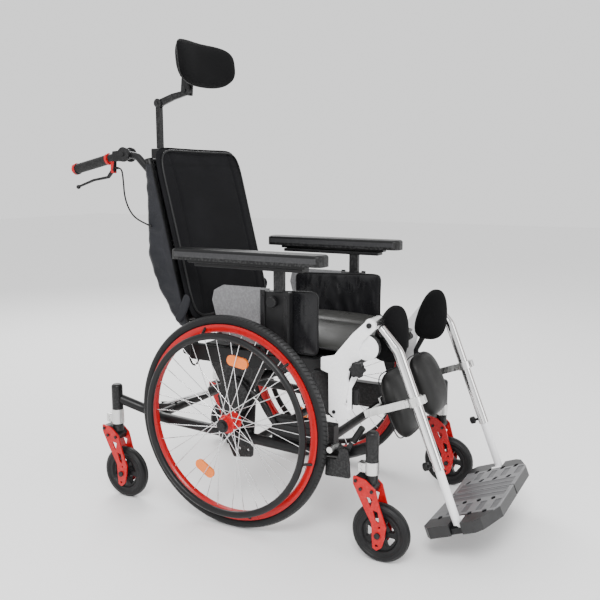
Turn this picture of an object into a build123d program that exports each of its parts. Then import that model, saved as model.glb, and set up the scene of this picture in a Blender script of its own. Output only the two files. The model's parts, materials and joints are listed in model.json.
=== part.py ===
from build123d import *
import os
from math import cos, pi, radians, sin

os.makedirs("parts", exist_ok=True)

# A tilt-in-space manual wheelchair, in millimetres.
# X points to the occupant's left, -Y is forward and Z is up, with the floor at Z = 0.
# Everything is drawn about the drive axle, then moved back by AXLE_Y, so that the origin
# lies on the floor under the middle of the chair's box.
AXLE_Y = 40.6

# Drive wheels
WHEEL_X = 298.0
AXLE_Z = 305.0
TYRE_W = 30.0
RIM_R = 280.0
RIM_INNER_R = 258.0
HANDRIM_R = 252.5
HANDRIM_TUBE_R = 9.5
HANDRIM_X = 338.0
SPOKES = 36
AXLE_PIN_R = 6.35
FIT = 0.05

# Casters: the wheel trails ahead of its stem as the chair stands
CASTER_R = 79.0
CASTER_W = 32.0
CASTER_X = 283.0
CASTER_LEAD = 28.0
FRONT_STEM_Y = -425.0
REAR_STEM_Y = 427.0
STEM_R = 10.0
FORK_TOP = 228.0
FORK_INNER = 21.5
FORK_PLATE = 4.5

# Base frame
RAIL_X = 246.0
RAIL_R = 15.0
RAIL_WALL = 2.5
AXLE_PLATE_X = 226.0
AXLE_PLATE = 6.0
TILT_Y = 25.0
TILT_Z = 359.0

# Seat frame and seat
SEAT_RAIL_X = 225.0
SEAT_RAIL_W = 20.0
SEAT_RAIL_BOTTOM = 450.0
SEAT_RAIL_TOP = 498.0
SEAT_REAR = 190.0
SEAT_FRONT = -330.0
CUSHION_W = 404.0
CUSHION_TOP = 548.0
CUSHION_REAR = 140.0
CUSHION_FRONT = -372.0

# Back
BACK_HINGE = (214.0, 515.0)
BACK_LEAN = 14.0
BACK_FOOT = (160.0, 560.0)
BACK_LENGTH = 537.0
BACK_W = 440.0
BACK_THICK = 50.0
BACK_TUBE_X = 195.0
BACK_TUBE_R = 12.0
KNUCKLE = (430.0, 1050.0)
GRIP_START = (500.0, 1038.0)
GRIP_END = (644.0, 1007.0)
GRIP_LENGTH = 147.3

# Armrests
ARM_X = 265.0
ARM_TOP = 785.0
POST_Y = -129.0

# Legrests
HANGER_X = 240.0
HANGER_Y = -296.0
KNEE = (-402.0, 612.0)
LEG_X = 214.0
LEG_R = 14.0
LEG_LEAN = 21.5
ANKLE = (-629.0, 122.0)
LEG_SPLIT = 135.0
CALF_UP = 318.0
FOOT_HINGE_IN = 22.0
FOOT_HINGE_UP = -6.0
SOLE_THICK = 30.0

# Gas springs: the tilt spring on the right, the recline spring on the left
SPRING_X = 150.0
TILT_SEAT_PIN = (-100.0, 440.0)
TILT_BASE_PIN = (372.0, 258.0)
RECLINE_SEAT_PIN = (-95.0, 425.0)
RECLINE_BACK_PIN = (244.0, 440.0)


def save(name, *solids):
    """Write one node from its solids, moved so that the origin is under the chair's middle."""
    placed = [s.moved(Location((0, AXLE_Y, 0))) for part in solids for s in part.solids()]
    shape = placed[0] if len(placed) == 1 else Compound(children=placed)
    export_step(shape, f"parts/{name}.step")


def mirrored(solids):
    """The left-hand copies of right-hand solids, which are drawn at negative X."""
    return [mirror(s, about=Plane.YZ) for s in solids]


def both(solids):
    return list(solids) + mirrored(solids)


def save_pair(name, *solids):
    """Write a right-hand node and its mirror image as a left-hand node."""
    save(f"right_{name}", *solids)
    save(f"left_{name}", *mirrored(solids))


def biggest(shape):
    """The largest solid of a cut shape."""
    return shape.solids().sort_by(SortBy.VOLUME)[-1]


def rod(start, end, radius, bore=0.0):
    """Round bar, or a round tube where BORE is given, from START to END."""
    run = Vector(*end) - Vector(*start)
    disc = Circle(radius) - Circle(bore) if bore else Circle(radius)
    return extrude(Plane(origin=start, z_dir=run) * disc, amount=run.length)


def tube(points, radius, bore=0.0, bend=30.0):
    """Bent round tube through POINTS, with every bend of the same radius."""
    path = FilletPolyline(*points, radius=bend)
    disc = Circle(radius) - Circle(bore) if bore else Circle(radius)
    return sweep(Plane(origin=path @ 0, z_dir=path % 0) * disc, path=path)


def cross_rod(x0, x1, y, z, radius, bore=0.0):
    """Round bar that lies along X."""
    return rod((x0, y, z), (x1, y, z), radius, bore)


def plate(outline, x0, x1, corner=0.0):
    """Flat plate that stands fore and aft, from an outline in (Y, Z)."""
    face = make_face(Polyline(*outline, close=True))
    if corner:
        face = fillet(face.vertices(), corner)
    return extrude(Plane.YZ.offset(x0) * face, amount=x1 - x0, dir=(1, 0, 0))


def block(x0, x1, y0, y1, z0, z1, edge=0.0):
    """Rectangular block between two corners, with rounded edges where EDGE is given."""
    size = (x1 - x0, y1 - y0, z1 - z0)
    solid = Pos((x0 + x1) / 2, (y0 + y1) / 2, (z0 + z1) / 2) * Box(*size)
    return fillet(solid.edges(), edge) if edge else solid


def spin_x(profile, x, y, z):
    """Ring about an X axis through (X, Y, Z), from a profile in (radius, x)."""
    face = make_face(Polyline(*profile, close=True))
    ring = revolve(face, axis=Axis.Y)
    return Location((x, y, z)) * Rot(0, 0, -90) * ring


def polar(radius, angle, centre=(0.0, 0.0)):
    """Point (Y, Z) at RADIUS and ANGLE in degrees about a centre."""
    return (centre[0] + radius * cos(radians(angle)), centre[1] + radius * sin(radians(angle)))


# ---------------------------------------------------------------- drive wheels

def drive_tyre():
    section = Pos(291.5, 0) * Ellipse(13.5, TYRE_W / 2)
    tyre = revolve(section, axis=Axis.Y)
    bead = Rot(90, 0, 0) * (Cylinder(284, 18) - Cylinder(RIM_R - 6, 18))
    return Location((-WHEEL_X, 0, AXLE_Z)) * Rot(0, 0, -90) * (tyre + bead)


def rim():
    inner = RIM_INNER_R
    side = [(inner, -7), (inner + 4, -11), (RIM_R - 8, -12.5), (RIM_R, -12.5), (RIM_R, -9), (RIM_R - 6, -9)]
    other_side = [(r, -x) for r, x in reversed(side)]
    return spin_x(side + other_side, -WHEEL_X, 0, AXLE_Z)


def spoke_set():
    """Tangent-laced spokes from both hub flanges, and two reflectors clipped among them."""
    parts = []
    for i in range(SPOKES):
        outer = i % 2 == 0
        lead = 66 if (i // 2) % 2 == 0 else -66
        x_hub = -WHEEL_X - 18 if outer else -WHEEL_X + 18
        x_rim = -WHEEL_X - 3 if outer else -WHEEL_X + 3
        y0, z0 = polar(24, i * 360 / SPOKES + lead, (0, AXLE_Z))
        y1, z1 = polar(RIM_INNER_R + 1, i * 360 / SPOKES, (0, AXLE_Z))
        parts.append(rod((x_hub, y0, z0), (x_rim, y1, z1), 1.1))
    for angle in (98.5, -59.4):
        y, z = polar(178, angle, (0, AXLE_Z))
        lens = extrude(SlotOverall(68, 30), amount=7)
        parts.append(Location((-WHEEL_X + 5, y, z)) * Rot(0, -90, 0) * Rot(0, 0, -angle) * lens)
    return parts


def hub():
    shell = [(AXLE_PIN_R, -20), (26, -20), (27, -17), (18, -14), (14, 0), (18, 14), (27, 17), (26, 20),
             (22, 22), (19, 38), (AXLE_PIN_R, 38)]
    body = spin_x([(r, -x) for r, x in shell], -WHEEL_X, 0, AXLE_Z)
    pin = cross_rod(-WHEEL_X - 38, -218, 0, AXLE_Z, AXLE_PIN_R)
    button = cross_rod(-WHEEL_X - 44, -WHEEL_X - 38, 0, AXLE_Z, 11)
    return [body, pin, button]


def handrim():
    ring = Location((-HANDRIM_X, 0, AXLE_Z)) * Rot(0, 90, 0) * Torus(HANDRIM_R, HANDRIM_TUBE_R)
    tabs = []
    for i in range(6):
        y0, z0 = polar(RIM_R - 5, i * 60 + 15, (0, AXLE_Z))
        y1, z1 = polar(HANDRIM_R + 4, i * 60 + 15, (0, AXLE_Z))
        tab = rod((-WHEEL_X - 8, y0, z0), (-HANDRIM_X + 6, y1, z1), 4)
        tabs.append(tab)
    wheel_rim = rim()
    joined = ring
    for tab in tabs:
        joined += (tab - wheel_rim).solids().sort_by(Axis.X)[0]
    return joined


# --------------------------------------------------------------------- casters

def fork(stem_y, stem_top):
    """Fork that swivels on its stem: two pierced plates, the crown between them and bolts."""
    outline = [(-42, 228), (-7, 221), (20, 199), (32, 156), (51, 106), (47, 73), (40, 49), (26, 38),
               (15, 44), (13, 70), (11, 108), (-15, 154), (-41, 205)]
    windows = [[(-6, 178), (13, 175), (8, 150)], [(14, 146), (28, 142), (33, 112), (22, 118)]]
    side = plate([(stem_y - s, z) for s, z in outline], 0, FORK_PLATE, 3)
    for window in windows:
        side -= plate([(stem_y - s, z) for s, z in window], -1, FORK_PLATE + 1, 1.5)
    for s, z, radius in ((33, 102, 3), (26, 51, 4)):
        side -= cross_rod(-1, FORK_PLATE + 1, stem_y - s, z, radius)
    centre = -CASTER_X
    outer = Pos(centre - FORK_INNER - FORK_PLATE, 0, 0) * side
    inner = Pos(centre + FORK_INNER, 0, 0) * side
    crown_outline = [(-40, 226), (-7, 219), (16, 200), (10, 182), (-14, 186), (-38, 206)]
    crown = plate([(stem_y - s, z) for s, z in crown_outline], centre - FORK_INNER, centre + FORK_INNER, 3)
    crown += rod((centre, stem_y, FORK_TOP - 20), (centre, stem_y, FORK_TOP + 1), 16)
    stem = rod((centre, stem_y, FORK_TOP + 1), (centre, stem_y, stem_top), STEM_R)
    bolts = []
    for s, z in ((-34, 216), (-20, 196), (11, 194)):
        for x0 in (centre - FORK_INNER - FORK_PLATE - 4, centre + FORK_INNER + FORK_PLATE):
            bolts.append(cross_rod(x0, x0 + 4, stem_y - s, z, 4.5))
    reach = FORK_INNER + FORK_PLATE
    axle = cross_rod(centre - reach - 5, centre + reach + 5, stem_y - CASTER_LEAD, CASTER_R, 4)
    heads = [cross_rod(centre - reach - 5, centre - reach, stem_y - CASTER_LEAD, CASTER_R, 8, 4),
             cross_rod(centre + reach, centre + reach + 5, stem_y - CASTER_LEAD, CASTER_R, 7, 4)]
    outer -= cross_rod(centre - 60, centre + 60, stem_y - CASTER_LEAD, CASTER_R, 4)
    inner -= cross_rod(centre - 60, centre + 60, stem_y - CASTER_LEAD, CASTER_R, 4)
    return [outer, inner, crown, stem, axle] + bolts + heads


def caster_wheel(stem_y):
    """Solid tyre on a five-spoked plastic wheel."""
    y = stem_y - CASTER_LEAD
    half = CASTER_W / 2
    tyre = spin_x([(57, -12), (64, -half), (71, -half + 1), (76, -half + 5), (CASTER_R, -half + 11),
                   (CASTER_R, half - 11), (76, half - 5), (71, half - 1), (64, half), (57, 12)],
                  -CASTER_X, y, CASTER_R)
    core = spin_x([(4 + FIT, -20), (13, -20), (16, -9), (46, -7), (50, -12), (57, -12), (57, 12), (50, 12),
                   (46, 7), (16, 9), (13, 20), (4 + FIT, 20)], -CASTER_X, y, CASTER_R)
    for i in range(5):
        corners = [polar(23, i * 72 - 20), polar(44, i * 72 - 26), polar(44, i * 72 + 26), polar(23, i * 72 + 20)]
        window = plate([(y + a, CASTER_R + b) for a, b in corners], -CASTER_X - 30, -CASTER_X + 30, 3)
        core -= window
    return [tyre, core]


# ------------------------------------------------------------------ base frame

def rail_tube(bore=0.0):
    points = [(-CASTER_X + 6, REAR_STEM_Y - 6, 308), (-RAIL_X, 350, 277), (-RAIL_X, 282, 261),
              (-RAIL_X, -200, 243), (-RAIL_X, -345, 262), (-CASTER_X + 6, FRONT_STEM_Y + 6, 300)]
    return tube(points, RAIL_R, bore, 60)


def caster_housing(stem_y, bottom, top):
    """Black stem housing with a domed cap, and the silver clamp below it."""
    outer = rod((-CASTER_X, stem_y, bottom), (-CASTER_X, stem_y, top), 17)
    outer = fillet(outer.edges().sort_by(Axis.Z)[-1], 9)
    bore = rod((-CASTER_X, stem_y, FORK_TOP - 5), (-CASTER_X, stem_y, top - 14), STEM_R + FIT)
    collar = rod((-CASTER_X, stem_y, 232), (-CASTER_X, stem_y, bottom), 18.5)
    lug = block(-CASTER_X - 13, -CASTER_X + 13, stem_y + 10, stem_y + 36, 234, 260, 3)
    clamp = (collar + lug) - bore
    bolts = [cross_rod(-CASTER_X - 16, -CASTER_X - 13, stem_y + 27, z, 4) for z in (241, 253)]
    return outer - bore, clamp, bolts


def base_rail():
    """Side rail with both caster housings welded on and the parking-brake carrier clamped on."""
    rear, rear_clamp, rear_bolts = caster_housing(REAR_STEM_Y, 277, 356)
    front, front_clamp, front_bolts = caster_housing(FRONT_STEM_Y, 265, 345)
    bores = [rod((-CASTER_X, y, 200), (-CASTER_X, y, 334), STEM_R + FIT) for y in (REAR_STEM_Y, FRONT_STEM_Y)]
    frame = rail_tube(RAIL_R - RAIL_WALL) - bores[0] - bores[1] + rear + front
    carrier_outline = [(-289, 200), (-291, 250), (-322, 250), (-334, 282), (-356, 282), (-362, 204)]
    carrier = plate(carrier_outline, -281, -275, 4) + block(-275, -261.5, -350, -300, 206, 243)
    brake_pin = cross_rod(-275, -267, -345, 268, 4)
    return [frame, rear_clamp, front_clamp, carrier, brake_pin] + rear_bolts + front_bolts


def axle_plate():
    """Plate that carries the wheel's quick-release sleeve and the tilt pivot."""
    outline = [(-42, 359), (-30, 186), (34, 176), (60, 232), (88, 359)]
    body = plate(outline, -AXLE_PLATE_X - AXLE_PLATE, -AXLE_PLATE_X, 8)
    body += cross_rod(-AXLE_PLATE_X - AXLE_PLATE, -AXLE_PLATE_X, TILT_Y, TILT_Z, 57)
    sleeve = cross_rod(-271, -AXLE_PLATE_X, 0, AXLE_Z, 14)
    bore = cross_rod(-280, -200, 0, AXLE_Z, AXLE_PIN_R + FIT)
    cap = cross_rod(-AXLE_PLATE_X - 14, -AXLE_PLATE_X - AXLE_PLATE, TILT_Y, TILT_Z, 50)
    cap -= cross_rod(-300, -200, 0, AXLE_Z, 15)
    pivot = cross_rod(-AXLE_PLATE_X - 18, -210, TILT_Y, TILT_Z, 8)
    rail = rail_tube()
    saddles = []
    for y in (-20.0, 26.0):
        saddle = block(-264, -AXLE_PLATE_X - AXLE_PLATE, y - 11, y + 11, 226, 272, 2) - rail
        saddles += saddle.solids()
    holes = [cross_rod(-240, -220, y, 205, 5) for y in (-14.0, 14.0)]
    body = (body + sleeve) - bore - holes[0] - holes[1] - cross_rod(-300, -200, TILT_Y, TILT_Z, 8) - rail
    return [body, cap - pivot, pivot] + saddles


def rail_guides():
    """Ribbed guide block on the right rail, and the bent stay from it to the tilt pivot."""
    rails = rail_tube()
    guide = block(-237, -203, -292, -98, 249, 322, 3)
    for z in (266, 284, 302):
        guide -= block(-240, -234.5, -286, -104, z, z + 8)
    guide = biggest(guide - rails - cross_rod(-RAIL_X, RAIL_X, -230, 245, 13))
    stay = tube([(-241, -34, 386), (-241, -82, 352), (-241, -112, 300)], 7, 0, 30)
    disc = cross_rod(-250, -AXLE_PLATE_X, TILT_Y, TILT_Z, 58)
    return [guide, biggest(stay - guide - disc)]


def base_cross_tubes():
    """Three cross tubes between the rails, and the rear bracket of the tilt spring."""
    rails = rail_tube() + mirror(rail_tube(), about=Plane.YZ)
    solids = []
    for y, z in ((-230, 245), (300, 265)):
        bar = cross_rod(-RAIL_X, RAIL_X, y, z, 13, 10.5) - rails
        solids.append(biggest(bar))
    solids.append(cross_rod(-AXLE_PLATE_X, AXLE_PLATE_X, 0, 212, 12, 9.5))
    by, bz = TILT_BASE_PIN
    for x in (-SPRING_X - 13, -SPRING_X + 8):
        cheek = plate([(300, 252), (300, 277), (by + 2, bz + 11), (by + 10, bz), (by + 2, bz - 11)], x, x + 5, 3)
        cheek -= cross_rod(-RAIL_X, RAIL_X, 300, 265, 13)
        solids.append(biggest(cheek))
    for x in (-SPRING_X - 18, -SPRING_X + 13):
        solids.append(cross_rod(x, x + 5, by, bz, 7))
    return solids


def parking_brake_lever():
    """Lever with the peg that presses on the tyre and a rubber grip."""
    outline = [(-352, 262), (-346, 256), (-338, 260), (-312, 280), (-314, 294), (-326, 294), (-342, 280),
               (-360, 306), (-368, 300)]
    arm = plate(outline, -273.5, -268, 1.5) - cross_rod(-280, -250, -345, 268, 4 + FIT)
    peg = cross_rod(-318, -273.5, -320, 287, 8)
    grip = rod((-270, -364, 301), (-270, -392, 346), 9)
    return [arm, peg, fillet(grip.edges(), 4) - arm]


# ------------------------------------------------------------------ seat frame

def seat_rail():
    """Right-hand side of the seat frame, with its pivot plate, back bracket and hanger post."""
    x0, x1 = -SEAT_RAIL_X, -SEAT_RAIL_X + SEAT_RAIL_W
    rail = block(x0, x1, SEAT_FRONT, SEAT_REAR, SEAT_RAIL_BOTTOM, SEAT_RAIL_TOP, 3)
    pivot_outline = [(-70, 455), (120, 455), (58, 345), (-8, 345)]
    pivot_plate = plate(pivot_outline, -223, -215, 4) + cross_rod(-223, -215, TILT_Y, TILT_Z, 34)
    hy, hz = BACK_HINGE
    bracket = plate([(170, 456), (170, 492), (196, 530), (hy + 12, 534), (hy + 20, 510), (hy + 4, 462)],
                    -218, -210, 4)
    back_pin = cross_rod(-221, -182, hy, hz, 6)
    strut = plate([(-278, 352), (-278, 462), (-222, 462), (-258, 352)], -236, -226, 3)
    strut += block(-236, -220, -276, -228, 453, 470)
    post = rod((-HANGER_X, HANGER_Y, 352), (-HANGER_X, HANGER_Y, 486), 10)
    frame = rail + pivot_plate + bracket + strut + post
    for z0, z1, x_end in ((352, 362, -228), (484, 497, -215)):
        frame += rod((-HANGER_X, HANGER_Y, z0), (-HANGER_X, HANGER_Y, z1), 12.5)
        frame += block(-HANGER_X, x_end, HANGER_Y - 12, HANGER_Y + 24, z0, z1)
    frame -= cross_rod(-240, -200, TILT_Y, TILT_Z, 8 + FIT)
    return frame - back_pin, back_pin


def seat_frame():
    solids = both(seat_rail())
    inner = SEAT_RAIL_X - SEAT_RAIL_W
    pan = block(-inner, inner, -345, 146, 490, 499.5)
    solids.append(pan)
    for y, z in ((-300, 474), (-120, 474), (150, 476)):
        solids.append(cross_rod(-inner, inner, y, z, 12))
    for side, (py, pz) in ((-1, TILT_SEAT_PIN), (1, RECLINE_SEAT_PIN)):
        for x in (side * SPRING_X - 19, side * SPRING_X + 14):
            lug = plate([(-134, 474), (-106, 480), (py + 11, pz), (py, pz - 11), (py - 12, pz)], x, x + 5, 3)
            lug -= cross_rod(-inner, inner, -120, 474, 12)
            solids.append(biggest(lug))
        solids.append(cross_rod(side * SPRING_X - 14, side * SPRING_X + 14, py, pz, 4))
    return solids


def side_guard():
    """Grey guard beside the wheel, the armrest socket, its two screwed bars and its knob."""
    outline = [(-120, 520), (-120, 681), (63, 681), (95, 664), (102, 635), (86, 578), (60, 520)]
    guard = plate(outline, -229.5, -225.5, 6)
    socket = block(-253, -229.5, POST_Y - 35, POST_Y + 53, 500, 677, 4)
    guard -= block(-232, -220, POST_Y - 35, POST_Y + 40, 500, 690)
    foot = block(-253, -225.5, POST_Y - 30, POST_Y + 48, 470, 500, 3)
    cavity = block(-249.1, -234.9, POST_Y - 15.1, POST_Y + 15.1, 495, 700)
    bars, screws = [], []
    for y in (POST_Y - 27, POST_Y + 45):
        bars.append(block(-259, -253, y - 7, y + 7, 496, 681, 2))
        for z in (508, 560, 612, 664):
            screws.append(cross_rod(-261.5, -259, y, z, 3.5))
    stalk = cross_rod(-258, -253, POST_Y + 11, 650, 6)
    knob = cross_rod(-272, -258, POST_Y + 11, 650, 15)
    knob = fillet(knob.edges(), 3)
    return [guard, (socket + foot) - cavity, stalk, knob] + bars + screws


def side_pad():
    outline = [(-300, 546), (-298, 655), (-286, 668), (60, 676), (74, 664), (74, 540), (60, 506), (-250, 506)]
    return plate(outline, -223, -208, 8)


def cushion():
    body = block(-CUSHION_W / 2, CUSHION_W / 2, CUSHION_FRONT, CUSHION_REAR, 500, CUSHION_TOP)
    front = body.edges().filter_by(Axis.X).group_by(Axis.Y)[0].group_by(Axis.Z)[-1]
    body = fillet(front, 30)
    return fillet(body.faces().sort_by(Axis.Z)[-1].edges(), 8)


# ------------------------------------------------------------------------ back

def back_line(rise, behind=0.0):
    """Point (Y, Z) at RISE up the lean of the back and BEHIND its front face."""
    a = radians(BACK_LEAN)
    return (BACK_FOOT[0] + rise * sin(a) + behind * cos(a), BACK_FOOT[1] + rise * cos(a) - behind * sin(a))


def back_frame():
    """Two back tubes with cross tubes, the handle arms, the recline lever and head bracket."""
    hy, hz = BACK_HINGE
    lift = 66.0
    low, top = back_line(6, lift), back_line(508, lift)
    branch = back_line(462, lift)
    x = -BACK_TUBE_X
    ky, kz = KNUCKLE
    stile = tube([(x, hy, hz), (x, *low), (x, *top)], BACK_TUBE_R, 0, 20)
    stile += cross_rod(x - 12, x + 12, hy, hz, 17)
    arm = tube([(x, *branch), (x, ky - 40, kz - 6), (x, ky - 8, kz)], 11, 0, 30)
    boss = cross_rod(x - 12, x + 10, ky, kz, 16)
    side = (stile + arm + boss) - cross_rod(-240, -150, hy, hz, 6 + FIT) - cross_rod(-240, -150, ky, kz, 5 + FIT)
    frame = side + mirror(side, about=Plane.YZ)
    for rise in (20, 250, 500):
        y, z = back_line(rise, lift)
        frame += cross_rod(x, -x, y, z, 9)
    ly, lz = RECLINE_BACK_PIN
    cy, cz = back_line(20, lift)
    for x0 in (SPRING_X - 13, SPRING_X + 8):
        frame += plate([(cy - 9, cz), (cy + 5, cz), (ly + 11, lz), (ly, lz - 11), (ly - 11, lz)], x0, x0 + 5, 3)
    y, z = back_line(500, lift)
    bracket = block(-12, 12, y, 452, z - 8, z + 8) + block(-20, 20, 446, 484, z - 30, z + 46, 4)
    frame += bracket
    frame -= block(-10.1, 10.1, 460 - 7.1, 460 + 7.1, 980, 1200)
    pins = [cross_rod(s * SPRING_X + e, s * SPRING_X + e + 5, ly, lz, 7) for s, e in ((1, -18), (1, 13))]
    return [frame] + pins


def back_slab(rise0, rise1, behind0, behind1, half_width, edge):
    """Leaning slab between two heights up the back and two depths behind its front face."""
    corners = [back_line(rise0, behind0), back_line(rise1, behind0), back_line(rise1, behind1),
               back_line(rise0, behind1)]
    solid = plate(corners, -half_width, half_width)
    return fillet(solid.edges(), edge)


def back_cover():
    """Rear cover that hangs behind the back tubes and bellies out."""
    outline = [back_line(4, 80), back_line(428, 80), (350, 976), (361, 974), (359, 915), (351, 810),
               (323, 729), (295, 670), (263, 618), (246, 566)]
    return plate(outline, -212, 212)


def headrest_post():
    """Square post with a hinge eye at its top."""
    post = block(-10, 10, 453, 467, 1020, 1212)
    eye = cross_rod(-10, 10, 460, 1219, 14)
    fork_gap = block(-5.3, 5.3, 440, 480, 1203, 1240)
    pin = cross_rod(-12, 12, 460, 1219, 4)
    return [((post + eye) - fork_gap) - pin, pin]


def headrest_link():
    """Cranked link between the post and the pad."""
    arm = plate([(464, 1228), (452, 1208), (400, 1226), (342, 1240), (336, 1256), (404, 1246)], -5, 5, 3)
    arm += cross_rod(-5, 5, 460, 1219, 13)
    arm += cross_rod(-5, 5, 346, 1252, 13)
    arm -= cross_rod(-20, 20, 460, 1219, 4 + FIT)
    return [arm - cross_rod(-20, 20, 346, 1252, 5), cross_rod(-18, 18, 346, 1252, 5)]


def headrest_pad():
    """Curved head pad with the bracket that takes the link's pin."""
    outline = [(-150, 258), (-120, 246), (120, 246), (150, 258), (150, 300), (110, 330), (-110, 330), (-150, 300)]
    face = fillet(make_face(Polyline(*outline, close=True)).vertices(), 10)
    pad = extrude(Plane.XY.offset(1262) * face, amount=128)
    pad = fillet(pad.edges().filter_by(Plane.XY), 8)
    cheeks = []
    for x in (-14, 6.2):
        cheek = plate([(335, 1236), (362, 1240), (356, 1300), (329, 1310)], x, x + 7.8, 3)
        cheeks.append(cheek - cross_rod(-20, 20, 346, 1252, 5 + FIT))
    back_plate = block(-50, 50, 329.9, 336, 1290, 1350, 2)
    return [pad, back_plate + cheeks[0] + cheeks[1]]


def grip_point(along):
    """Point on the right-hand grip's axis, ALONG millimetres behind its front end."""
    start, end = Vector(-BACK_TUBE_X, *GRIP_START), Vector(-BACK_TUBE_X, *GRIP_END)
    return tuple(start + (end - start).normalized() * along)


def push_handle():
    """Handle that turns in its knuckle: cheeks, pin, tube and the brake lever's clamp."""
    x = -BACK_TUBE_X
    ky, kz = KNUCKLE
    gy, gz = GRIP_START
    cheeks = []
    for x0 in (x - 20, x + 12):
        cheek = plate([(ky - 14, kz - 14), (ky - 14, kz + 14), (ky + 42, kz + 10), (ky + 42, kz - 20)], x0, x0 + 6, 4)
        cheek += cross_rod(x0, x0 + 6, ky, kz, 22)
        cheeks.append(cheek)
    web = block(x - 20, x + 18, ky + 22, ky + 44, kz - 20, kz + 8, 3)
    bar = rod(grip_point(-34), grip_point(GRIP_LENGTH), 10)
    pin = cross_rod(x - 24, x + 22, ky, kz, 5)
    clamp = rod(grip_point(-22), grip_point(-3), 14)
    ferrule = rod((x, gy - 18, 1010), (x, gy - 32, 1010), 4)
    lug_outline = [(gy - 22, gz - 4), (gy - 7, gz - 8), (gy - 7, gz - 42), (gy - 20, gz - 44)]
    lug = plate(lug_outline, x - 6, x + 6, 3)
    gap = plate([(gy - 26, gz - 24), (gy + 6, gz - 24), (gy + 6, gz - 60), (gy - 26, gz - 60)], x - 3.3, x + 3.3)
    lever_pin = cross_rod(x - 8, x + 8, gy - 12, gz - 34, 3)
    body = cheeks[0] + cheeks[1] + web + bar + clamp + lug + ferrule - gap
    return [body - pin - lever_pin, pin, lever_pin]


def hand_grip():
    """Rubber grip with a ring at each end."""
    solids = []
    for a, b, radius in ((0, 8, 18), (8, 138, 15.5), (138, GRIP_LENGTH, 18)):
        solids.append(rod(grip_point(a), grip_point(b), radius, 10))
    return solids + [rod(grip_point(GRIP_LENGTH), grip_point(GRIP_LENGTH + 5), 14)]


def brake_lever():
    """Hand lever with a ball end that hangs under the grip."""
    x = -BACK_TUBE_X
    y, z = GRIP_START[0] - 12, GRIP_START[1] - 34
    outline = [(y - 4, z + 5), (y + 6, z + 3), (y + 24, z - 18), (y + 82, z - 27), (y + 144, z - 47),
               (y + 142, z - 53), (y + 80, z - 34), (y + 18, z - 25), (y - 5, z - 3)]
    arm = plate(outline, x - 2.8, x + 2.8, 1.2) + cross_rod(x - 2.8, x + 2.8, y, z, 7)
    ball = Pos(x, y + 148, z - 52) * Sphere(7)
    return [arm + ball - cross_rod(x - 9, x + 9, y, z, 3 + FIT)]


def brake_cable():
    """Cable from the hand lever's clamp, in a loop, down to the back tube."""
    x = -BACK_TUBE_X
    points = [(x, 468, 1010), (x, 454, 1010), (x - 6, 444, 975), (x - 14, 434, 918), (x - 20, 405, 872),
              (x - 24, 365, 850), (x - 24, 325, 838)]
    path = FilletPolyline(*points, radius=8)
    return sweep(Plane(origin=path @ 0, z_dir=path % 0) * Circle(2.5), path=path)


# -------------------------------------------------------------------- armrests

def armrest_post():
    """Post that slides in the socket, with the rail under the pad."""
    post = block(-249, -235, POST_Y - 15, POST_Y + 15, 505, 735)
    rail = block(-ARM_X - 8, -ARM_X + 32, -215, 130, 735, 745, 2)
    strip = block(-ARM_X - 14, -ARM_X + 14, -225, 150, 745, 754, 2)
    return [post + rail + strip]


def armrest_pad():
    pad = block(-ARM_X - 30, -ARM_X + 30, -281, 200, 754, ARM_TOP)
    pad = fillet(pad.edges().filter_by(Axis.Z), 20)
    return fillet(pad.faces().sort_by(Axis.Z)[-1].edges(), 8)


# -------------------------------------------------------------------- legrests

def hanger():
    """White swing-away plate with its two post eyes, the knee bolt, and the locking knob."""
    outline = [(-355, 586), (-399, 628), (-414, 622), (-419, 604), (-384, 570), (-373, 545), (-379, 522),
               (-350, 502), (-343, 465), (-346, 446), (-335, 393), (-349, 376), (-355, 360), (-309, 353),
               (-290, 368), (-288, 475), (-266, 482), (-266, 515), (-304, 524)]
    side = plate(outline, -262, -254, 2)
    eyes = []
    for z in (368, 448):
        eye = block(-254, -250, HANGER_Y - 15, HANGER_Y + 7, z, z + 22)
        eye += rod((-HANGER_X, HANGER_Y, z), (-HANGER_X, HANGER_Y, z + 22), 14)
        eyes.append(eye - rod((-HANGER_X, HANGER_Y, 340), (-HANGER_X, HANGER_Y, 520), 10 + FIT))
    ky, kz = KNEE
    knee_bolt = cross_rod(-266, -198, ky, kz, 7)
    foot_bolt = cross_rod(-264.5, -262, -305, 372, 5)
    drum = cross_rod(-254, -236, -392, 552, 33)
    lobes = cross_rod(-280, -266, -376, 497, 17)
    for i in range(6):
        y, z = polar(16, i * 60, (-376, 497))
        lobes += cross_rod(-280, -266, y, z, 5.5)
    stalk = cross_rod(-266, -244, -376, 497, 6)
    arm = plate([(-340, 380), (-338, 440), (-366, 505), (-386, 505), (-352, 440), (-352, 380)], -254, -246, 4)
    shoe = block(-246, -232, -366, -344, 392, 436, 4)
    bolt_hole = cross_rod(-300, -190, ky, kz, 7)
    side = (side - bolt_hole) - stalk
    return [side, eyes[0], eyes[1], knee_bolt, foot_bolt, drum, lobes, arm - stalk, stalk, shoe]


def knee_pad():
    """Lateral knee pad on a flat arm from the drum."""
    outline = [(-408, 498), (-450, 514), (-468, 560), (-464, 632), (-440, 652), (-404, 644), (-376, 600),
               (-376, 526)]
    pad = plate(outline, -190, -132, 8)
    arm = block(-236, -190, -402, -386, 540, 564, 2)
    return [pad, arm]


def leg_point(up, forward=0.0):
    """Point (Y, Z) at UP along the straight leg tube from the ankle, and FORWARD of it."""
    a = radians(LEG_LEAN)
    return (ANKLE[0] + up * sin(a) - forward * cos(a), ANKLE[1] + up * cos(a) + forward * sin(a))


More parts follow.
